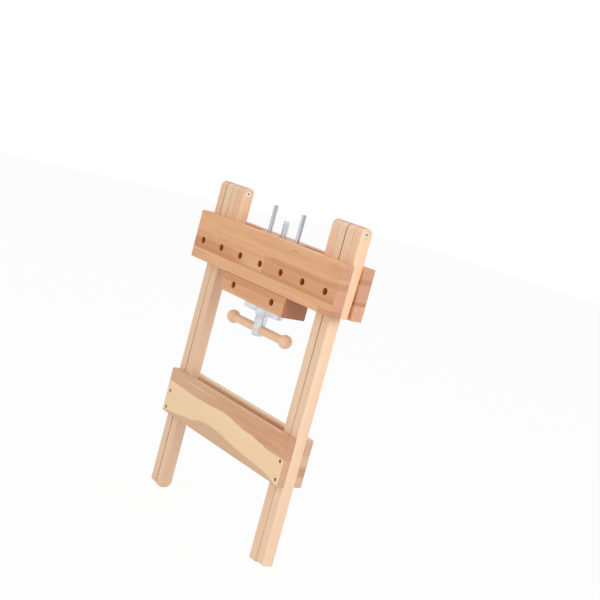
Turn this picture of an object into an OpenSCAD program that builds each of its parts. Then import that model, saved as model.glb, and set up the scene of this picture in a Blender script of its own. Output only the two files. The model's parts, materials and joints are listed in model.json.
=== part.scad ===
// Folding workbench with a front vise, drawn folded flat and standing on its feet.
// X runs along the boards, Y from the front board to the rear board, and Z up the legs.
// The middle plane of the leg bars is Y = 0, and the feet stand on Z = 0.

/* [Worktop boards] */
// Length of each board
board_l = 680; // [640:5:760]
// Width of each board
board_w = 138; // [132:1:160]
// Thickness of each board
board_t = 35; // [28:1:40]
// Distance from the top pivots to the near edge of each board
board_drop = 80; // [72:1:90]
// How far the boards stand out past the outer arms
board_overhang = 7; // [2:1:12]
// Radius on the long edges of the boards
board_edge_r = 2; // [1:0.5:4]

/* [Dog holes] */
// Diameter of the dog holes
dog_d = 19; // [16:0.5:20]
// Distance between dog holes along the front board
dog_pitch = 99; // [90:1:104]
// Number of dog holes in the front board
dog_count = 7; // [5:2:7]
// Distance from the vise edge of the board to the row of holes
dog_edge = 56; // [50:1:58]

/* [Leg bars and arms] */
// Height of the top pivots over the feet
leg_l = 895; // [840:5:960]
// Width of every bar, along the boards
bar_w = 30; // [28:0.5:32]
// Depth of every bar, front to rear
bar_d = 34; // [32:1:38]
// Radius on the long edges of the bars
bar_edge_r = 2.5; // [1:0.5:4]
// Distance from the top pivots down to the cross pivots
cross_drop = 125; // [115:1:130]
// How much the rear edge of an arm tapers in towards its end
arm_taper = 6; // [2:1:8]
// Radius on the rear corner of the inner feet
inner_foot_r = 20; // [10:1:24]
// Radius on the front corner of the outer feet
outer_foot_r = 10; // [4:1:24]

/* [Gaps] */
// Space between the legs and the boards behind and before them
board_clear = 0.5; // [0.3:0.1:1]
// Thickness of the washer between an arm and its leg
arm_washer_t = 0.8; // [0.6:0.1:1.5]
// Thickness of the washer between an inner and an outer leg
leg_washer_t = 1.6; // [1:0.1:3]
// Radial clearance of everything that turns or slides in a bore
run_clear = 0.08; // [0.05:0.01:0.1]
// Radial clearance around the sunk bolt heads
head_clear = 0.4; // [0.3:0.1:0.8]

/* [Stretchers] */
// Height of each stretcher
stretcher_h = 130; // [110:1:150]
// Thickness of each stretcher
stretcher_t = 22; // [18:1:28]
// Height of the lower edge of the stretchers over the feet
stretcher_z = 218; // [180:1:260]
// Height of the lower screw over the lower edge of a stretcher
screw_low = 14; // [12:1:30]
// Distance between the two screws at each end of a stretcher
screw_rise = 49; // [30:1:70]

/* [Pivots] */
// Diameter of the top pivot bolts
top_bolt_d = 10; // [8:0.5:12]
// Diameter of the cross pivot bolts
cross_bolt_d = 12; // [10:0.5:14]
// How far a bolt head is wider than its shank, on each side
bolt_head_step = 4; // [3:0.5:5]
// Thickness of a bolt head
bolt_head_t = 3.5; // [2.5:0.5:5]
// How deep a bolt head lies under the wood's face
bolt_head_sink = 0.5; // [0.3:0.1:1]
// Width across the flats of the hexagon sockets
hex_af = 6; // [5:0.5:8]

/* [Vise jaw] */
// Length of the jaw
jaw_l = 305; // [280:5:330]
// Thickness of the jaw, away from the board
jaw_t = 52; // [45:1:60]
// Depth of the jaw, down from the working face
jaw_d = 77; // [74:1:90]
// Distance from the middle of the jaw to each of its dog holes
jaw_dog_x = 94; // [90:1:110]
// Distance the jaw opens
vise_travel = 100; // [60:5:100]
// Space left between the closed jaw and the board
jaw_gap = 0.5; // [0.3:0.1:1]

/* [Vise rods and guides] */
// Diameter of the guide rods
rod_d = 13; // [12:0.5:16]
// Distance between the two guide rods
rod_pitch = 132; // [120:1:150]
// Length of rod that stays in the rear guide with the jaw open
rod_reserve = 13; // [8:1:30]
// Length of the guide blocks
block_l = 190; // [180:5:220]
// Thickness of the guide blocks
block_t = 36; // [30:1:38]
// Space between the guide blocks and the rear board
block_clear = 2; // [1:0.5:4]
// Distance from the middle to the screws of a guide block
block_screw_x = 38; // [34:1:42]

/* [Vise screw and handle] */
// Diameter of the vise screw
screw_d = 18; // [16:1:22]
// Length of screw that stays behind the nut with the jaw open
screw_reserve = 47; // [20:1:50]
// Diameter of the nut
nut_d = 30; // [28:1:32]
// Diameter of the flange on the nut
nut_flange_d = 32.5; // [31:0.5:33]
// Thickness of the flange on the nut
nut_flange_t = 4; // [3:0.5:6]
// Diameter of the collar that draws the jaw back
collar_d = 28; // [26:1:32]
// Thickness of the collar
collar_t = 11; // [8:1:14]
// Depth of the yoke that joins the rods under the jaw, front to rear
yoke_d = 32; // [28:1:36]
// Thickness of the yoke
yoke_t = 22; // [16:1:24]
// Diameter of the boss that the screw head bears on
yoke_boss_d = 44; // [42:1:48]
// Distance from the middle to the screws of the yoke
yoke_screw_x = 40; // [36:1:44]
// Depth of the screw in its head
head_grip = 22; // [16:1:26]
// Diameter of the screw head
hub_d = 34; // [32:1:36]
// Diameter of the flange on the screw head
hub_flange_d = 38; // [37:1:40]
// Thickness of the flange on the screw head
hub_flange_t = 8; // [6:1:12]
// Distance from the jaw to the middle of the handle
handle_drop = 67; // [60:1:80]
// Length of the screw head past the middle of the handle
hub_nose = 19; // [16:1:24]
// Diameter of the handle
handle_d = 24; // [20:1:25]
// Distance from the middle of the handle to the middle of each knob
knob_x = 128; // [110:1:140]
// Diameter of the knobs
knob_d = 38; // [32:1:40]
// Depth of the handle in its loose knob
knob_seat = 14; // [8:1:16]

/* [Wood screws] */
// Diameter of the wood screws
wood_screw_d = 5; // [4:0.5:6]
// Diameter of their countersunk heads
wood_screw_head_d = 10; // [8:0.5:11]
// How deep the screw heads lie under the face of the stretchers
screw_sink = 3; // [1:0.5:5]
// Length of the screws through the arms and the stretchers
wood_screw_l = 46; // [42:1:48]
// Length of the screws through the yoke
yoke_screw_l = 46; // [40:1:60]

/* [Hidden] */

$fn = 48;
eps = 1;                                        // how far a cutting solid runs past a face
half_d = bar_d / 2;                             // front and rear faces of the leg bars
board_y = half_d + board_clear;                 // faces of the boards that look at the legs
board_top_z = leg_l - board_drop;               // near edge of the boards when folded
board_low_z = board_top_z - board_w;            // vise edge of the boards when folded
cross_z = leg_l - cross_drop;
outer_arm_x = board_l / 2 - board_overhang;     // outside faces, from the outside in
outer_leg_x = outer_arm_x - bar_w - arm_washer_t;
inner_leg_x = outer_leg_x - bar_w - leg_washer_t;
inner_arm_x = inner_leg_x - bar_w - arm_washer_t;
dog_z = board_low_z + dog_edge;
jaw_top_z = board_low_z - jaw_gap;
jaw_low_z = jaw_top_z - jaw_t;
front_y = -board_y - board_t;                   // working face of the front board and the jaw
jaw_rear_y = front_y + jaw_d;
block_d = 2 * board_y - block_clear;
rear_block_z = board_top_z - block_t;
rod_top_z = rear_block_z + vise_travel + rod_reserve;
screw_top_z = board_low_z + block_t + vise_travel + screw_reserve;
yoke_low_z = jaw_low_z - yoke_t;
screw_low_z = yoke_low_z - head_grip;
handle_z = jaw_low_z - handle_drop;
collar_gap = 1;                                 // from the collar to the jaw's inner face
collar_low_z = jaw_top_z - collar_gap - collar_t;
arm_screw_inset = 34;                           // from the board's edges to the arm screws
rod_chamfer = 1.5;
hub_chamfer = 2;
washer_wall = 7;

// Flat shapes

module round_rect(size_u, size_v, r) {
    square([size_u - 2 * r, size_v], center = true);
    square([size_u, size_v - 2 * r], center = true);
    for (u = [-1, 1], v = [-1, 1])
        translate([u * (size_u / 2 - r), v * (size_v / 2 - r)])
            circle(r);
}

// Draws a flat shape whose first axis is Y and second axis is Z, from X = 0 to X = length
module along_x(length) {
    rotate([90, 0, 90])
        linear_extrude(length)
            children();
}

// Solids that repeat

module rod_x(x0, x1, d) {
    translate([x0, 0, 0])
        rotate([0, 90, 0])
            cylinder(h = x1 - x0, d = d);
}

module rod_y(y0, y1, d) {
    translate([0, y0, 0])
        rotate([-90, 0, 0])
            cylinder(h = y1 - y0, d = d);
}

// Countersunk wood screw that points along +Y, with its head flush with Y = 0
module wood_screw(length) {
    head_h = (wood_screw_head_d - wood_screw_d) / 2;
    rotate([-90, 0, 0]) {
        cylinder(h = head_h, d1 = wood_screw_head_d, d2 = wood_screw_d);
        cylinder(h = length, d = wood_screw_d);
    }
}

// Pivot bolt from X = 0 outwards, with a round head in which a hexagon is sunk
module pivot_bolt(length, d) {
    difference() {
        union() {
            rod_x(0, length, d);
            rod_x(length - bolt_head_t, length, d + 2 * bolt_head_step);
        }
        translate([length - 2, 0, 0])
            rotate([0, 90, 0])
                cylinder(h = 2 + eps, d = hex_af / cos(30), $fn = 6);
    }
}

module washer(x0, thickness, bolt_d) {
    difference() {
        rod_x(x0, x0 + thickness, bolt_d + 2 * washer_wall);
        rod_x(x0 - eps, x0 + thickness + eps, bolt_d + 2 * run_clear);
    }
}

// Space that a bolt head takes out of the wood, on the side that dir points to
module head_pocket(face_x, bolt_d, dir) {
    depth = bolt_head_t + bolt_head_sink;
    near = dir > 0 ? face_x - depth : face_x - eps;
    rod_x(near, near + depth + eps, bolt_d + 2 * bolt_head_step + 2 * head_clear);
}

// Bar with a half round top, between two X faces and from Z = low to the top pivot
module bar(x0, low) {
    intersection() {
        translate([x0, 0, 0])
            along_x(bar_w)
                children();
        translate([x0 + bar_w / 2, 0, low - eps])
            linear_extrude(leg_l + bar_d - low)
                round_rect(bar_w, bar_d + 2 * board_clear, bar_edge_r);
    }
}

module leg_profile(low) {
    translate([-half_d, low])
        square([bar_d, leg_l - low]);
    translate([0, leg_l])
        circle(half_d);
}

// Leg whose foot is rounded on the rear corner
module leg_profile_with_foot(r) {
    leg_profile(r);
    translate([-half_d, 0])
        square([bar_d - r, r + eps]);
    intersection() {
        translate([half_d - r, r])
            circle(r);
        translate([-half_d, 0])
            square([bar_d, r + eps]);
    }
}

module outer_leg_profile() {
    mirror([1, 0, 0])
        leg_profile_with_foot(outer_foot_r);
}

module inner_leg_profile() {
    leg_profile_with_foot(inner_foot_r);
}

// An arm stands proud of the legs where its board is fixed, and tapers on the other side
module arm_profile() {
    polygon([
        [-half_d, leg_l],
        [-half_d, board_top_z],
        [-board_y, board_top_z],
        [-board_y, board_low_z],
        [half_d - arm_taper, board_low_z],
        [half_d, board_top_z],
        [half_d, leg_l]
    ]);
    translate([0, leg_l])
        circle(half_d);
}

module at_top_pivot() {
    translate([0, 0, leg_l])
        children();
}

module at_cross_pivot() {
    translate([0, 0, cross_z])
        children();
}

// Frame that stands in front: outer legs and front stretcher

module right_outer_leg() {
    x0 = outer_leg_x - bar_w;
    color("burlywood")
        difference() {
            bar(x0, 0)
                outer_leg_profile();
            at_top_pivot()
                rod_x(x0 - eps, outer_leg_x + eps, top_bolt_d);
            at_cross_pivot() {
                rod_x(x0 - eps, outer_leg_x + eps, cross_bolt_d + 2 * run_clear);
                head_pocket(outer_leg_x, cross_bolt_d, 1);
            }
            front_stretcher_screws();
        }
}

module left_outer_leg() {
    mirror([1, 0, 0])
        right_outer_leg();
}

module stretcher_board() {
    translate([-outer_leg_x, half_d + stretcher_t / 2, stretcher_z + stretcher_h / 2])
        along_x(2 * outer_leg_x)
            round_rect(stretcher_t, stretcher_h, board_edge_r);
}

// Places of the screws that pass through a stretcher on the rear side, into the legs with outside faces at leg_x
module at_stretcher_screws(leg_x) {
    for (side = [-1, 1], rise = [0, screw_rise])
        translate([
            side * (leg_x - bar_w / 2),
            half_d + stretcher_t - screw_sink,
            stretcher_z + screw_low + rise
        ])
            mirror([0, 1, 0])
                children();
}

// Space that a sunk screw takes out of the wood
module sunk_screw_hole() {
    wood_screw(wood_screw_l);
    rod_y(-screw_sink - eps, eps, wood_screw_head_d);
}

module front_stretcher() {
    color("wheat")
        mirror([0, 1, 0])
            difference() {
                stretcher_board();
                at_stretcher_screws(outer_leg_x)
                    sunk_screw_hole();
            }
}

module front_stretcher_screws() {
    color("dimgray")
        mirror([0, 1, 0])
            at_stretcher_screws(outer_leg_x)
                wood_screw(wood_screw_l);
}

module outer_pivot_bolts() {
    x0 = outer_leg_x - bar_w;
    color("gray")
        for (side = [0, 1])
            mirror([side, 0, 0])
                at_top_pivot()
                    translate([x0, 0, 0])
                        pivot_bolt(outer_arm_x - bolt_head_sink - x0, top_bolt_d);
}

module outer_pivot_washers() {
    color("silver")
        for (side = [0, 1])
            mirror([side, 0, 0])
                at_top_pivot()
                    washer(outer_leg_x, arm_washer_t, top_bolt_d);
}

// Frame that stands behind: inner legs and rear stretcher

module right_inner_leg() {
    x0 = inner_leg_x - bar_w;
    color("burlywood")
        difference() {
            bar(x0, 0)
                inner_leg_profile();
            at_top_pivot()
                rod_x(x0 - eps, inner_leg_x + eps, top_bolt_d);
            at_cross_pivot() {
                rod_x(x0 - eps, inner_leg_x + eps, cross_bolt_d + 2 * run_clear);
                head_pocket(x0, cross_bolt_d, -1);
            }
            rear_stretcher_screws();
        }
}

module left_inner_leg() {
    mirror([1, 0, 0])
        right_inner_leg();
}

module rear_stretcher() {
    color("wheat")
        difference() {
            stretcher_board();
            at_stretcher_screws(inner_leg_x)
                sunk_screw_hole();
        }
}

module rear_stretcher_screws() {
    color("dimgray")
        at_stretcher_screws(inner_leg_x)
            wood_screw(wood_screw_l);
}

module inner_pivot_bolts() {
    head_x = inner_arm_x - bar_w + bolt_head_sink;
    color("gray")
        for (side = [0, 1])
            mirror([side, 0, 0])
                at_top_pivot()
                    translate([inner_leg_x, 0, 0])
                        mirror([1, 0, 0])
                            pivot_bolt(inner_leg_x - head_x, top_bolt_d);
}

module inner_pivot_washers() {
    color("silver")
        for (side = [0, 1])
            mirror([side, 0, 0])
                at_top_pivot()
                    washer(inner_arm_x, arm_washer_t, top_bolt_d);
}

// Pivots where the legs cross, with a sunk head on both ends

module cross_pivot_bolts() {
    x0 = inner_leg_x - bar_w + bolt_head_sink;
    color("gray")
        for (side = [0, 1])
            mirror([side, 0, 0])
                at_cross_pivot() {
                    translate([x0, 0, 0])
                        pivot_bolt(outer_leg_x - bolt_head_sink - x0, cross_bolt_d);
                    rod_x(x0, x0 + bolt_head_t, cross_bolt_d + 2 * bolt_head_step);
                }
}

module cross_pivot_washers() {
    color("silver")
        for (side = [0, 1])
            mirror([side, 0, 0])
                at_cross_pivot()
                    difference() {
                        rod_x(inner_leg_x, inner_leg_x + leg_washer_t, cross_bolt_d + 2 * washer_wall);
                        rod_x(inner_leg_x - eps, outer_leg_x, cross_bolt_d);
                    }
}

// Front half of the worktop

module top_board() {
    translate([-board_l / 2, board_y + board_t / 2, board_low_z + board_w / 2])
        along_x(board_l)
            round_rect(board_t, board_w, board_edge_r);
}

module front_board() {
    color("tan")
        difference() {
            mirror([0, 1, 0])
                top_board();
            for (i = [0 : dog_count - 1])
                translate([(i - (dog_count - 1) / 2) * dog_pitch, 0, dog_z])
                    rod_y(front_y - eps, -board_y + eps, dog_d);
            front_board_screws();
            guide_block_screws();
        }
}

module right_outer_arm() {
    x0 = outer_arm_x - bar_w;
    color("burlywood")
        difference() {
            bar(x0, board_low_z)
                arm_profile();
            at_top_pivot() {
                rod_x(x0 - eps, outer_arm_x + eps, top_bolt_d + 2 * run_clear);
                head_pocket(outer_arm_x, top_bolt_d, 1);
            }
            front_board_screws();
        }
}

module left_outer_arm() {
    mirror([1, 0, 0])
        right_outer_arm();
}

// Screws through the rear faces of two arms into the board before them
module arm_screws(arm_x) {
    head_y = half_d - arm_taper;
    for (side = [-1, 1], z = [board_low_z + arm_screw_inset, board_top_z - arm_screw_inset])
        translate([side * (arm_x - bar_w / 2), head_y, z])
            mirror([0, 1, 0]) {
                wood_screw(wood_screw_l);
                translate([0, -arm_taper, 0])
                    rod_y(0, arm_taper, wood_screw_head_d);
            }
}

module front_board_screws() {
    color("dimgray")
        intersection() {
            arm_screws(outer_arm_x);
            translate([-board_l, -leg_l, 0])
                cube([2 * board_l, leg_l + half_d - arm_taper, leg_l]);
        }
}

module guide_block(low_z) {
    translate([-block_l / 2, -board_y + block_d / 2, low_z + block_t / 2])
        along_x(block_l)
            round_rect(block_d, block_t, board_edge_r);
}

module guide_rod_bores() {
    for (side = [-1, 1])
        translate([side * rod_pitch / 2, 0, board_low_z - eps])
            cylinder(h = board_w + 2 * eps, d = rod_d + 2 * run_clear);
}

module front_guide_block() {
    color("burlywood")
        difference() {
            guide_block(board_low_z);
            guide_rod_bores();
            vise_nut_body(nut_d);
            guide_block_screws();
        }
}

module rear_guide_block() {
    color("burlywood")
        difference() {
            guide_block(rear_block_z);
            guide_rod_bores();
            translate([0, 0, rear_block_z - eps])
                cylinder(h = block_t + 2 * eps, d = screw_d + 6);
            guide_block_screws();
        }
}

module guide_block_screws() {
    color("dimgray")
        for (side = [-1, 1], z = [board_low_z + block_t / 2, rear_block_z + block_t / 2])
            translate([side * block_screw_x, -board_y + block_d, z])
                mirror([0, 1, 0])
                    wood_screw(wood_screw_l + 2);
}

// The nut's flange bears on the side of the front block that faces away from the jaw
module vise_nut_body(d) {
    translate([0, 0, board_low_z])
        cylinder(h = block_t, d = d);
}

module vise_nut() {
    color("darkgoldenrod")
        difference() {
            union() {
                vise_nut_body(nut_d);
                translate([0, 0, board_low_z + block_t])
                    cylinder(h = nut_flange_t, d = nut_flange_d);
            }
            translate([0, 0, board_low_z - eps])
                cylinder(h = block_t + nut_flange_t + 2 * eps, d = screw_d + 2 * run_clear);
        }
}

// Rear half of the worktop

module rear_board() {
    color("tan")
        difference() {
            top_board();
            rear_board_screws();
        }
}

module right_inner_arm() {
    x0 = inner_arm_x - bar_w;
    color("burlywood")
        difference() {
            mirror([0, 1, 0])
                bar(x0, board_low_z)
                    arm_profile();
            at_top_pivot() {
                rod_x(x0 - eps, inner_arm_x + eps, top_bolt_d + 2 * run_clear);
                head_pocket(x0, top_bolt_d, -1);
            }
            rear_board_screws();
        }
}

module left_inner_arm() {
    mirror([1, 0, 0])
        right_inner_arm();
}

module rear_board_screws() {
    color("dimgray")
        mirror([0, 1, 0])
            intersection() {
                arm_screws(inner_arm_x);
                translate([-board_l, -leg_l, 0])
                    cube([2 * board_l, leg_l + half_d - arm_taper, leg_l]);
            }
}

// Vise jaw and what slides with it

module vise_jaw() {
    color("tan")
        difference() {
            translate([-jaw_l / 2, (front_y + jaw_rear_y) / 2, (jaw_low_z + jaw_top_z) / 2])
                along_x(jaw_l)
                    round_rect(jaw_d, jaw_t, board_edge_r);
            for (side = [-1, 1]) {
                translate([side * jaw_dog_x, 0, (jaw_low_z + jaw_top_z) / 2])
                    rod_y(front_y - eps, jaw_rear_y + eps, dog_d);
                translate([side * rod_pitch / 2, 0, jaw_low_z - eps])
                    cylinder(h = jaw_t + 2 * eps, d = rod_d);
            }
            translate([0, 0, jaw_low_z - eps])
                cylinder(h = jaw_t + 2 * eps, d = screw_d + 2 * run_clear);
            translate([0, 0, collar_low_z])
                cylinder(h = jaw_t, d = collar_d + 2 * head_clear);
            vise_yoke_screws();
        }
}

module guide_rod(side) {
    length = rod_top_z - yoke_low_z;
    color("silver")
        translate([side * rod_pitch / 2, 0, yoke_low_z]) {
            cylinder(h = length - rod_chamfer, d = rod_d);
            translate([0, 0, length - rod_chamfer])
                cylinder(h = rod_chamfer, d1 = rod_d, d2 = rod_d - 2 * rod_chamfer);
        }
}

module left_guide_rod() {
    guide_rod(-1);
}

module right_guide_rod() {
    guide_rod(1);
}

// Steel bar that holds the ends of both rods and that the screw head pushes against
module vise_yoke() {
    color("silver")
        difference() {
            translate([0, 0, yoke_low_z])
                linear_extrude(yoke_t) {
                    square([rod_pitch, yoke_d], center = true);
                    circle(d = yoke_boss_d);
                    for (side = [-1, 1])
                        translate([side * rod_pitch / 2, 0])
                            circle(d = yoke_d);
                }
            translate([0, 0, yoke_low_z - eps])
                cylinder(h = yoke_t + 2 * eps, d = screw_d + 2 * run_clear);
            for (side = [-1, 1])
                translate([side * rod_pitch / 2, 0, yoke_low_z - eps])
                    cylinder(h = yoke_t + 2 * eps, d = rod_d);
            vise_yoke_screws();
        }
}

module vise_yoke_screws() {
    color("silver")
        for (side = [-1, 1])
            translate([side * yoke_screw_x, 0, yoke_low_z])
                rotate([90, 0, 0])
                    wood_screw(yoke_screw_l);
}

// Vise screw and handle

module vise_screw() {
    length = screw_top_z - screw_low_z;
    color("silver")
        translate([0, 0, screw_low_z]) {
            cylinder(h = length - rod_chamfer, d = screw_d);
            translate([0, 0, length - rod_chamfer])
                cylinder(h = rod_chamfer, d1 = screw_d, d2 = screw_d - 2 * rod_chamfer);
        }
}

// Head with a flange, fixed on the lower end of the screw, with the handle's hole across it
module screw_head() {
    flange_z = yoke_low_z - hub_flange_t;
    nose_z = handle_z - hub_nose;
    color("silver")
        difference() {
            union() {
                translate([0, 0, flange_z])
                    cylinder(h = hub_flange_t, d = hub_flange_d);
                translate([0, 0, nose_z + hub_chamfer])
                    cylinder(h = flange_z - nose_z - hub_chamfer, d = hub_d);
                translate([0, 0, nose_z])
                    cylinder(h = hub_chamfer, d1 = hub_d - 2 * hub_chamfer, d2 = hub_d);
            }
            translate([0, 0, screw_low_z])
                cylinder(h = head_grip + eps, d = screw_d);
            translate([0, 0, handle_z])
                rod_x(-hub_d, hub_d, handle_d + 2 * run_clear);
        }
}

module screw_collar() {
    color("gray")
        translate([0, 0, collar_low_z])
            difference() {
                cylinder(h = collar_t, d = collar_d);
                translate([0, 0, -eps])
                    cylinder(h = collar_t + 2 * eps, d = screw_d);
            }
}

// Turned bar whose right end is a ball
module vise_handle() {
    color("navajowhite")
        translate([0, 0, handle_z]) {
            rod_x(-knob_x + knob_d / 2 - knob_seat, knob_x, handle_d);
            translate([knob_x, 0, 0])
                sphere(d = knob_d);
        }
}

// Loose knob that keeps the handle in the screw head
module handle_knob() {
    color("navajowhite")
        translate([0, 0, handle_z])
            difference() {
                translate([-knob_x, 0, 0])
                    sphere(d = knob_d);
                rod_x(-knob_x + knob_d / 2 - knob_seat, 0, handle_d);
            }
}

left_outer_leg();
right_outer_leg();
front_stretcher();
front_stretcher_screws();
outer_pivot_bolts();
outer_pivot_washers();
left_inner_leg();
right_inner_leg();
rear_stretcher();
rear_stretcher_screws();
inner_pivot_bolts();
inner_pivot_washers();
cross_pivot_bolts();
cross_pivot_washers();
front_board();
left_outer_arm();
right_outer_arm();
front_board_screws();
front_guide_block();
rear_guide_block();
guide_block_screws();
vise_nut();
rear_board();
left_inner_arm();
right_inner_arm();
rear_board_screws();
vise_jaw();
left_guide_rod();
right_guide_rod();
vise_yoke();
vise_yoke_screws();
vise_screw();
screw_head();
screw_collar();
vise_handle();
handle_knob();
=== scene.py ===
"""Dresses the folding workbench: solid and glued beech, steel, brass and a threaded vise screw."""

import json
import math

import bmesh
import bpy
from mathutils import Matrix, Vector


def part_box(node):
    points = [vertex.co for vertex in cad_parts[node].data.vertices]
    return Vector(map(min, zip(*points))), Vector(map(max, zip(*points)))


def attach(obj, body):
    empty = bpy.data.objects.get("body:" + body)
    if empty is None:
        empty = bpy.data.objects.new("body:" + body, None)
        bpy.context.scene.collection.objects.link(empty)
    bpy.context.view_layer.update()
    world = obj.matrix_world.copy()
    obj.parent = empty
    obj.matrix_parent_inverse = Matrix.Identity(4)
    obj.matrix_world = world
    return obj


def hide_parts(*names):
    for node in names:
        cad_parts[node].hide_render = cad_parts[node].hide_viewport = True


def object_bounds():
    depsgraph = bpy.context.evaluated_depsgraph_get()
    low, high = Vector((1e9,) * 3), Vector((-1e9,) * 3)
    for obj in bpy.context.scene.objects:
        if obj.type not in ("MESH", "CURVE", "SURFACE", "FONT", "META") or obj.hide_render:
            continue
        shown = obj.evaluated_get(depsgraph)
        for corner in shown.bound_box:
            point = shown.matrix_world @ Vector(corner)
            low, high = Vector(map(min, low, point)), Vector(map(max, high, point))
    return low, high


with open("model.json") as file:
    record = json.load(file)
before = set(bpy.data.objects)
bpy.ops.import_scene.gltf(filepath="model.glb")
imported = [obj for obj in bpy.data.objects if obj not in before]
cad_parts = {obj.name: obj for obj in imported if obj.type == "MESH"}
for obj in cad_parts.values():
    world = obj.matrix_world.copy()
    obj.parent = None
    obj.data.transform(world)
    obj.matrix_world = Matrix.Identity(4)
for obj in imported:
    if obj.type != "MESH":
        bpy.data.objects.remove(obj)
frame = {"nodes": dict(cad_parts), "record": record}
cad_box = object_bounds()
nodes = frame["nodes"]

X, Y, Z = range(3)

# The camera stands before the right end of the bench and is rolled, because the bench is carried
# on a slant. Its turn is in degrees, its lens and sensor in millimetres
CAMERA_PLACE = (2.5708, -1.9119, 1.0587)
CAMERA_TURN = (82.71, -15.111, 53.691)
CAMERA_LENS = 71.31
CAMERA_SENSOR = 36.0

# Stage: the floor lies just under the feet and shows mostly as plain white, with the shadow in the
# rest of it. Each lamp has a place, a size and a power
WHITE = (1.0, 1.0, 1.0, 1.0)
FLOOR_GREY = (0.9, 0.9, 0.9, 1.0)
FLOOR_WHITE = 0.93
FLOOR_ROUGHNESS = 0.9
FLOOR_SIZE = 12.0
FLOOR_DROP = -0.0004
WORLD_LIGHT = 0.62
BACKDROP_LIGHT = 1.0
LAMPS = {
    "key": ((2.6, -0.2, 2.2), 1.7, 39.0),
    "fill": ((0.2, -4.2, 2.2), 2.8, 30.0),
}
LAMP_AIM = Vector((0.0, 0.0, 0.5))

# Colours as they look on screen, from 0 to 255
BAR_PALE = (246, 212, 180)
BAR_DARK = (236, 190, 152)
ARM_PALE = (247, 207, 173)
ARM_DARK = (237, 185, 146)
BOARD_PALE = (240, 183, 134)
BOARD_DARK = (213, 146, 97)
BOARD_HEART = (200, 130, 82)
STRETCHER_PALE = (255, 223, 181)
STRETCHER_DARK = (250, 210, 166)
HEARTWOOD = (213, 157, 115)
TAN = (222, 180, 142)
TURNED_PALE = (252, 212, 176)
TURNED_DARK = (244, 194, 156)
END_PALE = (226, 176, 147)
END_DARK = (178, 122, 98)
SAP_END_PALE = (222, 184, 162)
SAP_END_DARK = (194, 151, 128)
# Painted shade for the seams between bars: the shadow in the gaps between them
SEAM_PAINTED_SHADE = (160, 104, 72)
# Painted shade inside the dog holes, where shadow falls in the bores
BORE_PAINTED_SHADE = (203, 117, 33)
# Painted shade in the hex sockets of the bolt heads, which are not modelled
SOCKET_PAINTED_SHADE = (92, 88, 76)
CHROME = (222, 225, 230)
STEEL = (240, 230, 216)
ZINC = (186, 186, 182)
# Screw heads: dark brown, partly a dark zinc finish and partly painted shade of the holes they sit
# in
SHADED_DARK_ZINC = (150, 124, 100)
BRASS = (206, 172, 100)

# How bright a mark is against the colour that it lies on
FIBRE_TINT = 0.7
RAY_TINT = 0.68
MARK_TINT = 0.7
HEART_TINTS = (1.05, 0.98)
TAN_TINT = 0.94
# Dull patches on metal, and on bright steel the dark bands of a painted reflection
DULL_AND_REFLECTION_TINT = 0.6

# A number for each piece of wood, so that no two show the same grain. A leg and its arm share
# theirs, as they look alike on the bench
BAR_SEEDS = {"left_outer": 1.7, "left_inner": 4.8, "right_outer": 7.9, "right_inner": 11.0}
FRONT_STRETCHER_SEED = 5.3
REAR_STRETCHER_SEED = 8.9
FRONT_BOARD_SEED = 3.0
REAR_BOARD_SEED = 14.0
JAW_SEED = 23.0
GUIDE_BLOCK_SEEDS = {"front_guide_block": 4.4, "rear_guide_block": 6.1}
TURNED_SEEDS = {"vise_handle": 2.2, "handle_knob": 7.6}

# Glued strips from the lowest up: height of the upper edge over the lower edge of the piece, how
# dark the left and the right part are, and how far along the piece the two meet
FRONT_STRIPS = (
    (0.016, 0.32, 0.78, 0.92),
    (0.031, 0.15, 0.48, 0.95),
    (0.069, 0.42, 0.27, 0.52),
    (0.087, 0.32, 0.68, 0.56),
    (0.097, 0.25, 0.32, 0.45),
    (0.127, 0.30, 0.55, 0.92),
    (0.138, 0.32, 0.42, 0.60),
)
REAR_STRIPS = (
    (0.039, 0.30, 0.25, 0.35),
    (0.050, 0.60, 0.90, 0.62),
    (0.094, 0.35, 0.50, 0.48),
    (0.109, 0.70, 0.85, 0.30),
    (0.138, 0.40, 0.55, 0.71),
)
# On the vise jaw the right part is only its right end, set to the darkest tone as a painted shadow
# cast over that end
JAW_STRIPS = (
    (0.030, 0.48, 1.00, 0.99),
    (0.052, 0.68, 1.00, 0.99),
)
# These turn the lower edge of a strip, and the side of its joint, into a number of its own
STRIP_BASE = 0.01
STRIP_RISE = 5
STRIP_STEP = 31.0
PART_STEP = 5.3
NUMBER_OFFSET = 0.37
NUMBER_REACH = 9.0

# Layers of noise in wood: scale along and across the grain, offset, detail and distortion
FIGURE = (1.4, 30.0, 0.0, 3.0, 0.7)
BANDS = (2.6, 120.0, 4.0, 4.0, 0.3)
FIBRES = (18.0, 850.0, 9.0, 2.0, 0.0)
RAYS = (150.0, 1300.0, 2.0, 0.0, 0.0)
CLOUDS = (4.5, 9.0, 6.0, 2.0, 0.0)
SIDE_SHIFT = 1.7
NOISE_MIDDLE = 0.5
NOISE_ROUGHNESS = 0.55
RING_SCALES = (240.0, 80.0)
RING_DETAIL = 3.0

# Spans in wood: where a value begins and ends to count, and how much of a colour it lays on at the
# one and at the other
FIGURE_SPAN = (0.34, 0.68, 0.0, 0.5)
BANDS_SPAN = (0.45, 0.75, 0.0, 0.25)
HEART_TONE_SPAN = (0.30, 1.0, 0.0, 0.75)
PALE_TONE_SPAN = (0.0, 0.4, 0.5, 0.0)
CLOUDS_SPAN = (0.35, 0.7, 0.0, 0.12)
FIBRES_SPAN = (0.45, 0.75, 0.0, 0.10)
RAYS_SPAN = (0.66, 0.76, 0.0, 0.20)
RINGS_SPAN = (0.35, 0.65, 0.0, 0.4)
END_SPAN = (0.75, 0.95, 0.0, 0.8)
GLUE_SPAN = (0.0004, 0.0013, 1.0, 0.0)
GLUE_SHARE = 0.5
PLAIN_TONE = 0.5

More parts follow.
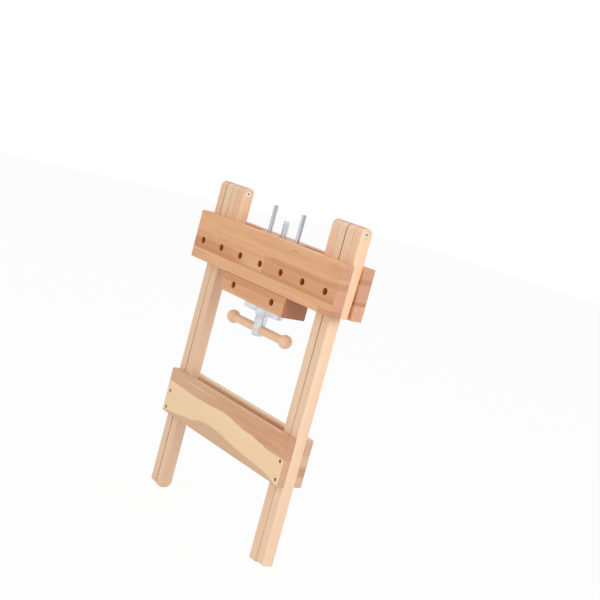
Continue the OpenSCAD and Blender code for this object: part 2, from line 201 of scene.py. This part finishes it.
# Surface of wood: roughness over the fibres, oil, depth of rays and glue lines against that of the
# fibres, rounded edges, and the strength and height of the bumps
WOOD_ROUGHNESS = (0.3, 0.7, 0.42, 0.56)
WOOD_SHEEN = {"Specular IOR Level": 0.4, "Coat Weight": 0.1, "Coat Roughness": 0.32}
GROOVE_DEPTH = -0.8
EDGE_RADIUS = 0.0012
EDGE_SAMPLES = 4
WOOD_BUMP = (0.3, 0.0002)

# Brown heartwood on the front board, from the lower edge of one strip up. Its spans are heights
# over the lower edge of the board, and its left part fades out at a distance from the left end
HEART_STRIP = 2
FACE_DRIFT = 0.03
LEFT_FADE = (0.20, 0.31)
LEFT_HEART_SPAN = (0.044, 0.070, 1.0, 0.0)
LEFT_HEART_SHARE = 0.75
LOWER_DARK_SPAN = (0.031, 0.046, 0.7, 0.0)
RIGHT_HEART_SPAN = (0.082, 0.090, 1.0, 0.0)
RIGHT_HEART_SHARE = 0.34

# Dark streaks on the front board: X, height over its lower edge, half the length and the share
BOARD_MARKS = (
    (0.139, 0.1235, 0.019, 0.55),
    (-0.298, 0.0215, 0.045, 0.4),
)
MARK_HALF_HIGH = 0.0019
STREAK_SPAN = (0.2, 1.0, 1.0, 0.0)

# Dog holes, with painted shade inside them where shadow falls in the bores
DOG_PITCH = 0.099
DOG_RADIUS = 0.0096
DOG_RIM = 0.0004
BORE_SHARE = 0.9

# Stretchers: edges of the brown heartwood and of the tan band, as shares of length and height
BROWN_EDGE = (
    (0.0, 0.71), (0.36, 0.69), (0.49, 0.715), (0.65, 0.63), (0.75, 0.61), (0.83, 0.56), (1.0, 0.53),
)
TAN_EDGE = (
    (0.0, 0.02), (0.10, 0.08), (0.25, 0.17), (0.37, 0.28),
    (0.52, 0.26), (0.66, 0.18), (0.83, 0.12), (1.0, 0.0),
)
REAR_BROWN_EDGE = ((0.0, 0.86), (0.3, 0.78), (0.6, 0.84), (1.0, 0.66))
REAR_TAN_EDGE = ((0.0, 0.22), (0.35, 0.12), (0.7, 0.2), (1.0, 0.05))
REAR_RIM = 0.008
HEART_DRIFT = 0.10
HEART_SCALES = (5.0, 16.0)
HEART_DETAIL = 4.0
HEART_DISTORTION = 0.8
HEART_ROUGHNESS = 0.6
HEART_STREAKS_SPAN = (0.35, 0.62, 0.0, 1.0)
HEART_FADE_SPAN = (0.1, 0.85, 0.75, 0.0)
BROWN_RAGGED = 0.08
BROWN_SPAN = (-0.008, 0.012, 0.0, 0.95)
RIM_SPAN = (-0.004, 0.004, 1.0, 0.35)
TAN_RAGGED = 0.10
TAN_STREAKS_SPAN = (0.4, 0.65, 0.0, 0.5)
TAN_SPAN = (-0.02, 0.03, 0.9, 0.0)
# Pale line in the heartwood: from the left end and the upper edge, half its size, and its share
PALE_LINE_PLACE = (0.155, 0.0145)
PALE_LINE_HALF_SIZE = (0.125, 0.0024)
PALE_LINE_SHARE = 0.6

# Brown core on the right end of the rear stretcher: height over the lower edge, fade to both
# sides, and how near the end face a point counts as on it
CORE_HEIGHT = 0.042
CORE_SPAN = (0.007, 0.021, 0.6, 0.0)
END_SKIN = 0.0005

# How dark the painted shade in the seams beside a leg is, over the height of the bench. It stands
# for the shadow in the gaps between the bars; the frames lie tight against each other in some
# places
RIGHT_LEG_SEAM = (
    (0.0, 0.0), (0.15, 0.0), (0.40, 0.15), (0.56, 0.45), (0.72, 0.85), (0.85, 1.0), (1.0, 1.0),
)
LEFT_LEG_SEAM = ((0.0, 0.8), (0.15, 0.85), (0.5, 0.8), (0.63, 0.4), (0.76, 0.1), (1.0, 0.0))
LEFT_ARM_SEAM = ((0.0, 0.0), (0.80, 0.0), (0.86, 1.0), (1.0, 1.0))
SEAM_SPAN = (0.0008, 0.0026, 0.85, 0.0)

# Metals: colour, least and most roughness, X, Y and Z scales of the drawn lines, how far the
# patches are dulled, and X, Y and Z scales of the patches. On bright steel the patches are long
# dark bands round the rods, a painted reflection
AROUND = (40.0, 40.0, 2500.0)
EVEN = (900.0, 900.0, 900.0)
EVEN_PATCHES = (35.0, 35.0, 35.0)
METALS = {
    # Bright steel: the patches are long dark bands round the rods, a painted reflection
    "bright_steel": (CHROME, (0.05, 0.10), AROUND, 0.6, (170.0, 170.0, 2.0)),
    "plated_steel": (CHROME, (0.10, 0.20), EVEN, 0.25, (20.0, 60.0, 60.0)),
    "bolt_steel": (STEEL, (0.28, 0.40), EVEN, 0.12, EVEN_PATCHES),
    "zinc_steel": (ZINC, (0.3, 0.5), EVEN, 0.2, EVEN_PATCHES),
    # Screw heads: partly a dark zinc finish and partly painted shade of the holes they sit in
    "shaded_dark_zinc_steel": (SHADED_DARK_ZINC, (0.35, 0.55), EVEN, 0.2, EVEN_PATCHES),
    "machined_brass": (BRASS, (0.2, 0.35), AROUND, 0.12, EVEN_PATCHES),
}
METAL_PIECES = {
    "bright_steel": ("left_guide_rod", "right_guide_rod", "vise_screw"),
    "plated_steel": ("screw_head", "screw_collar", "vise_yoke", "vise_yoke_screws"),
    "bolt_steel": ("outer_pivot_bolts", "inner_pivot_bolts", "cross_pivot_bolts"),
    "zinc_steel": ("outer_pivot_washers", "inner_pivot_washers", "cross_pivot_washers"),
    "shaded_dark_zinc_steel": (
        "front_stretcher_screws", "rear_stretcher_screws",
        "front_board_screws", "rear_board_screws", "guide_block_screws",
    ),
    "machined_brass": ("vise_nut",),
}
DRAWN_DETAIL = 3.0
PATCH_DETAIL = 2.0
DRAWN_EDGES = (0.3, 0.7)
PATCH_EDGES = (0.38, 0.62)
SOCKET_SPAN = (0.0024, 0.0030, 1.0, 0.0)
METAL_BUMP = (0.2, 0.0001)

# Vise screw. The profile is one pitch of the thread, as shares of pitch and depth
SCREW_RADIUS = 0.009
THREAD_PITCH = 0.004
THREAD_DEPTH = 0.0014
THREAD_PROFILE = ((0.0, 0.0), (0.30, 0.0), (0.45, 1.0), (0.80, 1.0), (0.95, 0.0), (1.0, 0.0))
THREAD_SINK = 0.0001
THREAD_SIDES = 36
THREAD_END_RISE = 1.5
THREAD_END_ROOM = 0.001
SHANK_TAPER = 0.001
TIP_LENGTH = 0.0003
TIP_BEVEL = 0.0006
RING_SIDES = 48

SMOOTH_ANGLE = math.radians(30.0)

# Places of the sockets of a node that mixes colours
MIX_SHARE, MIX_A, MIX_B, MIX_RESULT = 0, 6, 7, 2


def linear(colour):
    """Screen colour to the linear values that shaders take, by the sRGB curve."""
    def one(value):
        value /= 255
        return value / 12.92 if value <= 0.04045 else ((value + 0.055) / 1.055) ** 2.4

    return tuple(one(v) for v in colour) + (1.0,)


def tinted(colour, factor):
    """Screen colour made darker or paler."""
    return [factor * v for v in colour]


class Graph:
    """Short calls that add nodes to the tree of one material or world and link them."""

    def __init__(self, owner):
        owner.use_nodes = True
        self.tree = owner.node_tree

    def put(self, socket, value):
        """Links an output to a socket, or sets the socket to a constant."""
        if isinstance(value, bpy.types.NodeSocket):
            self.tree.links.new(value, socket)
        else:
            socket.default_value = value

    def fill(self, node, values):
        """Fills inputs of a node by their names."""
        for name, value in values.items():
            self.put(node.inputs[name], value)

    def node(self, kind, *inputs, **settings):
        """Adds a node and fills its inputs from the first on."""
        made = self.tree.nodes.new(kind)
        for key, value in settings.items():
            setattr(made, key, value)
        for socket, value in zip(made.inputs, inputs):
            self.put(socket, value)
        return made

    def math(self, operation, *values):
        """Adds a math node."""
        return self.node("ShaderNodeMath", *values, operation=operation).outputs[0]

    def plus(self, a, b):
        """Adds two values."""
        return self.math("ADD", a, b)

    def minus(self, a, b):
        """Takes b from a."""
        return self.math("SUBTRACT", a, b)

    def times(self, a, b):
        """Multiplies two values."""
        return self.math("MULTIPLY", a, b)

    def over(self, a, b):
        """Divides a by b."""
        return self.math("DIVIDE", a, b)

    def squares(self, a, b):
        """Adds the squares of two values."""
        return self.plus(self.times(a, a), self.times(b, b))

    def away(self, value, centre):
        """Gives how far a value lies from a centre, to either side."""
        return self.math("ABSOLUTE", self.minus(value, centre))

    def share(self, value, low, high):
        """Gives how far a value lies between low and high, from 0 to 1."""
        return self.over(self.minus(value, low), high - low)

    def split(self, vector):
        """Splits a vector into X, Y and Z."""
        return self.node("ShaderNodeSeparateXYZ", vector).outputs

    def vector(self, x, y, z):
        """Makes a vector of three values."""
        return self.node("ShaderNodeCombineXYZ", x, y, z).outputs[0]

    def scaled(self, vector, scales):
        """Scales a vector by one number for each axis."""
        made = self.node("ShaderNodeVectorMath", vector, scales, operation="MULTIPLY")
        return made.outputs[0]

    def noise(self, vector, detail, distortion=0.0, roughness=NOISE_ROUGHNESS):
        """Adds noise of scale 1: the vector brings the scale with it."""
        made = self.node("ShaderNodeTexNoise")
        self.fill(made, {
            "Vector": vector,
            "Scale": 1.0,
            "Detail": detail,
            "Roughness": roughness,
            "Distortion": distortion,
        })
        return made.outputs["Fac"]

    def white(self, value):
        """Gives a number between 0 and 1 that is always the same for the same value."""
        made = self.node("ShaderNodeTexWhiteNoise", noise_dimensions="1D")
        self.put(made.inputs["W"], value)
        return made.outputs["Value"]

    def curve(self, value, points):
        """Gives the height of a smooth line through points that are shares from 0 to 1."""
        made = self.node("ShaderNodeFloatCurve")
        line = made.mapping.curves[0].points
        line[0].location, line[1].location = points[0], points[-1]
        for point in points[1:-1]:
            line.new(*point)
        made.mapping.update()
        self.put(made.inputs["Value"], value)
        return made.outputs[0]

    def span(self, value, low, high, out_low, out_high):
        """Takes values from low to high to out_low to out_high, smoothly and held at both ends."""
        made = self.node(
            "ShaderNodeMapRange", value, low, high, out_low, out_high,
            interpolation_type="SMOOTHSTEP",
        )
        return made.outputs[0]

    def mix(self, share, a, b):
        """Mixes two colours."""
        made = self.node("ShaderNodeMix", data_type="RGBA")
        self.put(made.inputs[MIX_SHARE], share)
        self.put(made.inputs[MIX_A], a)
        self.put(made.inputs[MIX_B], b)
        return made.outputs[MIX_RESULT]

    def lay(self, share, under, colour):
        """Lays a share of a screen colour over another colour."""
        return self.mix(share, under, linear(colour))

    def bump(self, height, strength, distance):
        """Adds a bump node."""
        made = self.node("ShaderNodeBump")
        self.fill(made, {"Height": height, "Strength": strength, "Distance": distance})
        return made

    def seen(self):
        """Gives 1 for what the camera sees, also in metal and through glass, and 0 for light."""
        paths = self.node("ShaderNodeLightPath").outputs
        direct = self.math("MAXIMUM", paths["Is Camera Ray"], paths["Is Glossy Ray"])
        return self.math("MAXIMUM", direct, paths["Is Transmission Ray"])


def dress(material, *names):
    """Gives CAD nodes one material."""
    for name in names:
        slots = nodes[name].data.materials
        slots.clear()
        slots.append(material)


def glued(g, place, box, strips):
    """Gives how dark each glued strip is, a number of its own, and where the glue lines lie."""
    low, high = box
    tall = high.z - low.z
    height = g.minus(place[Z], low.z)
    along = g.share(place[X], low.x, high.x)
    ramp = g.node("ShaderNodeValToRGB", g.over(height, tall))
    table = ramp.color_ramp
    table.interpolation = "CONSTANT"
    while len(table.elements) < len(strips):
        table.elements.new(1.0)
    start = 0.0
    for element, (top, left, right, meet) in zip(table.elements, strips):
        element.position = start / tall
        element.color = (left, right, meet, (start + STRIP_BASE) * STRIP_RISE)
        start = top
    left, right, meet = g.node("ShaderNodeSeparateColor", ramp.outputs["Color"]).outputs[:3]
    past = g.math("GREATER_THAN", along, meet)
    tone = g.plus(left, g.times(past, g.minus(right, left)))
    number = g.plus(g.times(ramp.outputs["Alpha"], STRIP_STEP), g.times(past, PART_STEP))
    lines = 0.0
    for top, *_ in strips[:-1]:
        lines = g.math("MAXIMUM", lines, g.span(g.away(height, top), *GLUE_SPAN))
    return tone, number, lines


def grain_noise(g, place, grain, shift, layer):
    """Gives a layer of noise drawn out along the grain; the shift makes planks differ."""
    along_scale, cross_scale, offset, detail, distortion = layer
    side, depth = (place[axis] for axis in (X, Y, Z) if axis != grain)
    shifted = g.plus(g.times(place[grain], along_scale), shift)
    where = g.vector(
        g.plus(shifted, offset),
        g.plus(g.times(side, cross_scale), g.times(shift, SIDE_SHIFT)),
        g.times(depth, cross_scale),
    )
    return g.noise(where, detail, distortion)


def end_grain(g, place, grain, shift, tone, ends):
    """Gives the colour of an end face, where rings and pores show instead of the long grain."""
    side, depth = (place[axis] for axis in (X, Y, Z) if axis != grain)
    pale, dark = ends
    where = g.vector(g.times(side, RING_SCALES[0]), g.times(depth, RING_SCALES[1]), shift)
    rings = g.noise(where, RING_DETAIL)
    colour = g.lay(tone, linear(pale), dark)
    return g.lay(g.span(rings, *RINGS_SPAN), colour, dark)


def wood(name, pale, dark, grain, seed, strips=None, box=None, paint=None, late_paint=None,
         ends=(END_PALE, END_DARK)):
    """
    Dresses a node in beech with its grain along one axis, as one plank or as strips that are glued
    on top of each other in Z. One function may paint under the fibres, and one over everything.
    """
    material = bpy.data.materials.new("beech_" + name)
    g = Graph(material)
    coordinates = g.node("ShaderNodeTexCoord")
    place = g.split(coordinates.outputs["Object"])
    facing = g.split(coordinates.outputs["Normal"])

    shift = seed
    glue = 0.0
    tone = PLAIN_TONE
    if strips:
        tone, number, glue = glued(g, place, box, strips)
        own = g.white(g.plus(number, seed + NUMBER_OFFSET))
        shift = g.plus(g.times(own, NUMBER_REACH), seed)

    figure, bands, fibres, rays, clouds = (
        grain_noise(g, place, grain, shift, layer)
        for layer in (FIGURE, BANDS, FIBRES, RAYS, CLOUDS)
    )
    colour = g.lay(g.span(figure, *FIGURE_SPAN), linear(pale), dark)
    colour = g.lay(g.span(bands, *BANDS_SPAN), colour, dark)
    if strips:
        colour = g.lay(g.span(tone, *HEART_TONE_SPAN), colour, BOARD_HEART)
        colour = g.lay(g.span(tone, *PALE_TONE_SPAN), colour, pale)
    colour = g.lay(g.span(clouds, *CLOUDS_SPAN), colour, BAR_PALE)
    if paint:
        colour = paint(g, place, figure, colour)
    colour = g.lay(g.span(fibres, *FIBRES_SPAN), colour, tinted(dark, FIBRE_TINT))
    ray_mask = g.span(rays, *RAYS_SPAN)
    colour = g.lay(ray_mask, colour, tinted(dark, RAY_TINT))
    if strips:
        colour = g.lay(g.times(glue, GLUE_SHARE), colour, pale)
    on_end = g.span(g.math("ABSOLUTE", facing[grain]), *END_SPAN)
    colour = g.mix(on_end, colour, end_grain(g, place, grain, shift, tone, ends))
    if late_paint:
        colour = late_paint(g, place, figure, colour)

    rounded = g.node("ShaderNodeBevel", samples=EDGE_SAMPLES)
    g.put(rounded.inputs["Radius"], EDGE_RADIUS)
    grooves = g.times(g.plus(ray_mask, glue), GROOVE_DEPTH)
    bump = g.bump(g.plus(fibres, grooves), *WOOD_BUMP)
    g.put(bump.inputs["Normal"], rounded.outputs["Normal"])
    g.fill(g.tree.nodes["Principled BSDF"], {
        "Base Color": colour,
        "Roughness": g.span(fibres, *WOOD_ROUGHNESS),
        "Normal": bump.outputs["Normal"],
        **WOOD_SHEEN,
    })
    dress(material, name)


def streak(g, place, centre_x, centre_z, half_long, half_high):
    """Gives the mask of a short streak in the XZ plane."""
    across = g.over(g.minus(place[X], centre_x), half_long)
    up = g.over(g.minus(place[Z], centre_z), half_high)
    return g.span(g.squares(across, up), *STREAK_SPAN)


def board_face(box):
    """Makes the paint of the front board: brown heartwood and two small dark streaks."""
    low, high = box
    strip_low = FRONT_STRIPS[HEART_STRIP - 1][0]
    strip_meet = low.x + FRONT_STRIPS[HEART_STRIP][3] * (high.x - low.x)
    fade_start, fade_end = (low.x + x for x in LEFT_FADE)

    def paint(g, place, figure, colour):
        height = g.minus(place[Z], low.z)
        drifted = g.minus(height, g.times(g.minus(figure, NOISE_MIDDLE), FACE_DRIFT))
        over_line = g.math("GREATER_THAN", height, strip_low)

        reach = g.span(place[X], fade_start, fade_end, 1.0, 0.0)
        left = g.times(g.times(g.span(drifted, *LEFT_HEART_SPAN), reach), over_line)
        colour = g.lay(g.times(left, LEFT_HEART_SHARE), colour, BOARD_HEART)
        lower = g.times(g.span(drifted, *LOWER_DARK_SPAN), g.minus(1.0, reach))
        colour = g.lay(g.times(lower, over_line), colour, BOARD_DARK)

        right = g.math("GREATER_THAN", place[X], strip_meet)
        right = g.times(g.times(right, g.span(drifted, *RIGHT_HEART_SPAN)), over_line)
        colour = g.lay(g.times(right, RIGHT_HEART_SHARE), colour, BOARD_HEART)

        for centre_x, centre_height, half_long, share in BOARD_MARKS:
            mark = streak(g, place, centre_x, low.z + centre_height, half_long, MARK_HALF_HIGH)
            colour = g.lay(g.times(mark, share), colour, tinted(BOARD_DARK, MARK_TINT))
        return colour

    return paint


def painted_bore_shade(centre_x, pitch, height):
    """Makes the painted shade inside a row of dog holes, where the wood of the bores lies in
    shadow.
    """

    def paint(g, place, _, colour):
        # Distance along X from the axis of the nearest hole
        count = g.plus(g.over(g.minus(place[X], centre_x), pitch), 0.5)
        across = g.times(g.minus(g.math("FRACT", count), 0.5), pitch)
        radius = g.math("SQRT", g.squares(across, g.minus(place[Z], height)))
        inside = g.span(radius, DOG_RADIUS, DOG_RADIUS + DOG_RIM, BORE_SHARE, 0.0)
        # Painted shade on the wood inside the holes
        return g.lay(inside, colour, BORE_PAINTED_SHADE)

    return paint


def heartwood(box, upper, lower, rim=None):
    """
    Makes the paint of a stretcher: brown heartwood over its upper edge line and a tan band under
    its lower one. A rim is a strip along the top that stays paler.
    """
    low, high = box
    line_x, line_z = low.x + PALE_LINE_PLACE[0], high.z - PALE_LINE_PLACE[1]

    def paint(g, place, figure, colour):
        along = g.share(place[X], low.x, high.x)
        share = g.share(place[Z], low.z, high.z)
        drift = g.times(g.minus(figure, NOISE_MIDDLE), HEART_DRIFT)
        where = g.vector(
            g.times(along, HEART_SCALES[0]), g.times(share, HEART_SCALES[1]), figure,
        )
        streaks = g.noise(where, HEART_DETAIL, HEART_DISTORTION, HEART_ROUGHNESS)
        ragged = g.minus(streaks, NOISE_MIDDLE)

        over = g.plus(g.minus(share, g.curve(along, upper)), drift)
        over = g.plus(over, g.times(ragged, BROWN_RAGGED))
        pale, dark = (tinted(HEARTWOOD, tint) for tint in HEART_TINTS)
        brown = g.lay(g.span(streaks, *HEART_STREAKS_SPAN), linear(pale), dark)
        brown = g.lay(g.span(along, *HEART_FADE_SPAN), brown, TAN)
        brown_share = g.span(over, *BROWN_SPAN)
        if rim:
            over_rim = g.minus(place[Z], high.z - rim)
            brown_share = g.times(brown_share, g.span(over_rim, *RIM_SPAN))
        colour = g.mix(brown_share, colour, brown)
        line = streak(g, place, line_x, line_z, *PALE_LINE_HALF_SIZE)
        colour = g.lay(g.times(line, PALE_LINE_SHARE), colour, STRETCHER_DARK)

        under = g.minus(g.minus(share, g.curve(along, lower)), drift)
        under = g.plus(under, g.times(ragged, TAN_RAGGED))
        tan = g.lay(g.span(streaks, *TAN_STREAKS_SPAN), linear(TAN), tinted(TAN, TAN_TINT))
        return g.mix(g.span(under, *TAN_SPAN), colour, tan)

    return paint


def core_patch(box):
    """Makes the paint of the brown core that shows on the right end of the rear stretcher."""
    low, high = box

    def paint(g, place, _, colour):
        band = g.span(g.away(place[Z], low.z + CORE_HEIGHT), *CORE_SPAN)
        on_end = g.math("GREATER_THAN", place[X], high.x - END_SKIN)
        return g.lay(g.times(band, on_end), colour, END_DARK)

    return paint


def painted_seam_shade(*seams):
    """Makes the painted shade in seams where bars lie side by side: each seam has an X and a
    darkness.
    """

    def paint(g, place, _, colour):
        height = g.over(place[Z], cad_box[1][Z])
        for x, darkness in seams:
            near = g.span(g.away(place[X], x), *SEAM_SPAN)
            # Painted shade along the seam, fading over the height of the bench
            colour = g.lay(g.times(near, g.curve(height, darkness)), colour, SEAM_PAINTED_SHADE)
        return colour

    return paint


def metal(name, colour, roughness, line_scales, dullness_and_reflection, patch_scales, socket_z=None):
    """
    Makes a metal with fine drawn lines and duller patches; on bright steel the patches are long
    dark bands round the rods, a painted reflection. Bolt heads on an X axis at the height socket_z
    get a painted shade where their hex sockets lie, as the sockets are not modelled.
    """
    material = bpy.data.materials.new(name)
    g = Graph(material)
    place = g.node("ShaderNodeTexCoord").outputs["Object"]
    lines = g.noise(g.scaled(place, line_scales), DRAWN_DETAIL)
    patches = g.noise(g.scaled(place, patch_scales), PATCH_DETAIL)
    # Dull patches, which on bright steel are long dark bands of painted reflection
    dull_and_reflection = g.span(patches, *PATCH_EDGES, 0.0, dullness_and_reflection)
    shade = g.lay(dull_and_reflection, linear(colour), tinted(colour, DULL_AND_REFLECTION_TINT))
    if socket_z:
        parts = g.split(place)
        radius = g.math("SQRT", g.squares(parts[Y], g.minus(parts[Z], socket_z)))
        # Painted shade in the hex socket of a bolt head
        shade = g.lay(g.span(radius, *SOCKET_SPAN), shade, SOCKET_PAINTED_SHADE)
    g.fill(g.tree.nodes["Principled BSDF"], {
        "Base Color": shade,
        "Metallic": 1.0,
        "Roughness": g.span(lines, *DRAWN_EDGES, *roughness),
        "Normal": g.bump(lines, *METAL_BUMP).outputs["Normal"],
    })
    return material


def mount_place(name):
    """Gives the place of a mount of the part."""
    mounts = frame["record"]["mounts"]
    return next(mount["pos_m"] for mount in mounts if mount["name"] == name)


def dress_wood():
    """Dresses all pieces of wood."""
    leg_seam = (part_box("right_outer_leg")[0].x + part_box("right_inner_leg")[1].x) / 2
    arm_seam = (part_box("left_outer_leg")[0].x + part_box("left_outer_arm")[1].x) / 2
    seams = {
        "left": painted_seam_shade((-leg_seam, LEFT_LEG_SEAM), (arm_seam, LEFT_ARM_SEAM)),
        "right": painted_seam_shade((leg_seam, RIGHT_LEG_SEAM)),
    }
    for name, seed in BAR_SEEDS.items():
        paint = seams[name.split("_")[0]]
        wood(name + "_leg", BAR_PALE, BAR_DARK, Z, seed, paint=paint)
        wood(name + "_arm", ARM_PALE, ARM_DARK, Z, seed, paint=paint)

    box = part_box("front_stretcher")
    wood(
        "front_stretcher", STRETCHER_PALE, STRETCHER_DARK, X, FRONT_STRETCHER_SEED,
        paint=heartwood(box, BROWN_EDGE, TAN_EDGE),
    )
    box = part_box("rear_stretcher")
    wood(
        "rear_stretcher", STRETCHER_PALE, STRETCHER_DARK, X, REAR_STRETCHER_SEED,
        paint=heartwood(box, REAR_BROWN_EDGE, REAR_TAN_EDGE, REAR_RIM),
        late_paint=core_patch(box),
        ends=(SAP_END_PALE, SAP_END_DARK),
    )

    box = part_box("front_board")
    wood(
        "front_board", BOARD_PALE, BOARD_DARK, X, FRONT_BOARD_SEED, FRONT_STRIPS, box,
        paint=board_face(box),
        late_paint=painted_bore_shade(0.0, DOG_PITCH, mount_place("dog_hole_1")[Z]),
    )
    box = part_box("rear_board")
    wood("rear_board", BOARD_PALE, BOARD_DARK, X, REAR_BOARD_SEED, REAR_STRIPS, box)
    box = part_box("vise_jaw")
    hole_x, _, hole_z = mount_place("jaw_dog_hole_right")
    wood(
        "vise_jaw", BOARD_PALE, BOARD_DARK, X, JAW_SEED, JAW_STRIPS, box,
        late_paint=painted_bore_shade(-hole_x, 2 * hole_x, hole_z),
    )
    for name, seed in GUIDE_BLOCK_SEEDS.items():
        wood(name, BOARD_PALE, BOARD_DARK, X, seed)
    for name, seed in TURNED_SEEDS.items():
        wood(name, TURNED_PALE, TURNED_DARK, X, seed, ends=(TURNED_PALE, TURNED_DARK))


def dress_metal():
    """Dresses all pieces of metal and puts the threaded screw in the place of the plain one."""
    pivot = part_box("outer_pivot_bolts")
    sockets = {"bolt_steel": (pivot[0].z + pivot[1].z) / 2}
    made = {name: metal(name, *look, sockets.get(name)) for name, look in METALS.items()}
    for name, pieces in METAL_PIECES.items():
        dress(made[name], *pieces)
    make_thread(made["bright_steel"])


def add_object(name, data):
    """Adds an object to the scene."""
    made = bpy.data.objects.new(name, data)
    bpy.context.scene.collection.objects.link(made)
    return made


def mesh_object(name, build, material):
    """Adds an object whose mesh is built by a function that takes a bmesh."""
    mesh = bpy.data.meshes.new(name)
    bm = bmesh.new()
    build(bm)
    bm.to_mesh(mesh)
    bm.free()
    mesh.materials.append(material)
    return add_object(name, mesh)


def smooth(piece):
    """Shades curved faces smooth and keeps sharper edges sharp."""
    piece.data.shade_smooth()
    piece.data.set_sharp_from_angle(angle=SMOOTH_ANGLE)


def polar_point(bm, radius, angle, z):
    """Adds a point at an angle round the Z axis."""
    return bm.verts.new((radius * math.cos(angle), radius * math.sin(angle), z))


def lathe(bm, *outline):
    """Adds a closed solid round the Z axis from the radius and height of each ring, upward."""
    rings = [
        [polar_point(bm, radius, 2 * math.pi * k / RING_SIDES, z) for k in range(RING_SIDES)]
        for radius, z in outline
    ]
    for below, above in zip(rings, rings[1:]):
        for k in range(RING_SIDES):
            n = (k + 1) % RING_SIDES
            bm.faces.new((below[k], below[n], above[n], above[k]))
    bm.faces.new(list(reversed(rings[0])))
    bm.faces.new(rings[-1])


def make_thread(material):
    """Vise screw with a plain shank in the jaw and a trapezoid thread where the nut runs."""
    low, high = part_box("vise_screw")
    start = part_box("vise_nut")[0].z
    core = SCREW_RADIUS - THREAD_DEPTH
    turns = int((high.z - THREAD_END_ROOM - start) / THREAD_PITCH) - 1

    def column(bm, step):
        """Adds the profile at one step round the screw; the thread rises out of the core."""
        angle = 2 * math.pi * step / THREAD_SIDES
        turns_left = (turns * THREAD_SIDES - step) / THREAD_SIDES
        rise = min(1.0, step / THREAD_SIDES, turns_left * THREAD_END_RISE)
        points = []
        for part, depth in THREAD_PROFILE:
            radius = core - THREAD_SINK + depth * rise * THREAD_DEPTH
            z = start + THREAD_PITCH * (step / THREAD_SIDES + part)
            points.append(polar_point(bm, radius, angle, z))
        return points

    def build(bm):
        lathe(bm, (SCREW_RADIUS, low.z), (SCREW_RADIUS, start - SHANK_TAPER), (core, start))
        lathe(bm, (core, start), (core, high.z - TIP_LENGTH), (core - TIP_BEVEL, high.z))
        columns = [column(bm, step) for step in range(turns * THREAD_SIDES + 1)]
        for here, there in zip(columns, columns[1:]):
            for k in range(len(here) - 1):
                bm.faces.new((here[k], there[k], there[k + 1], here[k + 1]))
        bmesh.ops.recalc_face_normals(bm, faces=bm.faces)

    piece = mesh_object("vise_screw_thread", build, material)
    smooth(piece)
    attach(piece, "vise_screw")
    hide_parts("vise_screw")


def make_floor():
    """Adds a pale floor that keeps the shadow of the bench."""
    material = bpy.data.materials.new("pale_floor")
    g = Graph(material)
    shader = g.tree.nodes["Principled BSDF"]
    g.fill(shader, {"Base Color": FLOOR_GREY, "Roughness": FLOOR_ROUGHNESS})
    glow = g.node("ShaderNodeEmission")
    share = g.times(g.seen(), FLOOR_WHITE)
    mixer = g.node("ShaderNodeMixShader", share, shader.outputs[0], glow.outputs[0])
    g.put(g.tree.nodes["Material Output"].inputs["Surface"], mixer.outputs[0])

    def build(bm):
        bmesh.ops.create_grid(bm, x_segments=1, y_segments=1, size=FLOOR_SIZE)

    floor = mesh_object("floor", build, material)
    floor.location.z = FLOOR_DROP


def make_world():
    """Sets a white background and soft light from all sides."""
    world = bpy.data.worlds.new("studio")
    bpy.context.scene.world = world
    g = Graph(world)
    light = g.tree.nodes["Background"]
    g.fill(light, {"Color": WHITE, "Strength": WORLD_LIGHT})
    backdrop = g.node("ShaderNodeBackground", WHITE, BACKDROP_LIGHT)
    mixer = g.node("ShaderNodeMixShader", g.seen(), light.outputs[0], backdrop.outputs[0])
    g.put(g.tree.nodes["World Output"].inputs["Surface"], mixer.outputs[0])


def make_lamps():
    """Adds soft lamps that point at the middle of the bench."""
    for name, (place, size, power) in LAMPS.items():
        lamp = bpy.data.lights.new(name, "AREA")
        lamp.energy = power
        lamp.size = size
        holder = add_object(name, lamp)
        holder.location = place
        aim = LAMP_AIM - Vector(place)
        holder.rotation_euler = aim.to_track_quat("-Z", "Y").to_euler()


def make_camera():
    """Puts the camera where the photo was taken from."""
    data = bpy.data.cameras.new("camera")
    data.sensor_width = CAMERA_SENSOR
    data.lens = CAMERA_LENS
    camera = add_object("camera", data)
    camera.location = CAMERA_PLACE
    camera.rotation_euler = [math.radians(a) for a in CAMERA_TURN]
    bpy.context.scene.camera = camera


make_camera()
dress_wood()
dress_metal()
for node in nodes.values():
    smooth(node)
make_floor()
make_world()
make_lamps()
bpy.context.scene.view_settings.view_transform = "Standard"
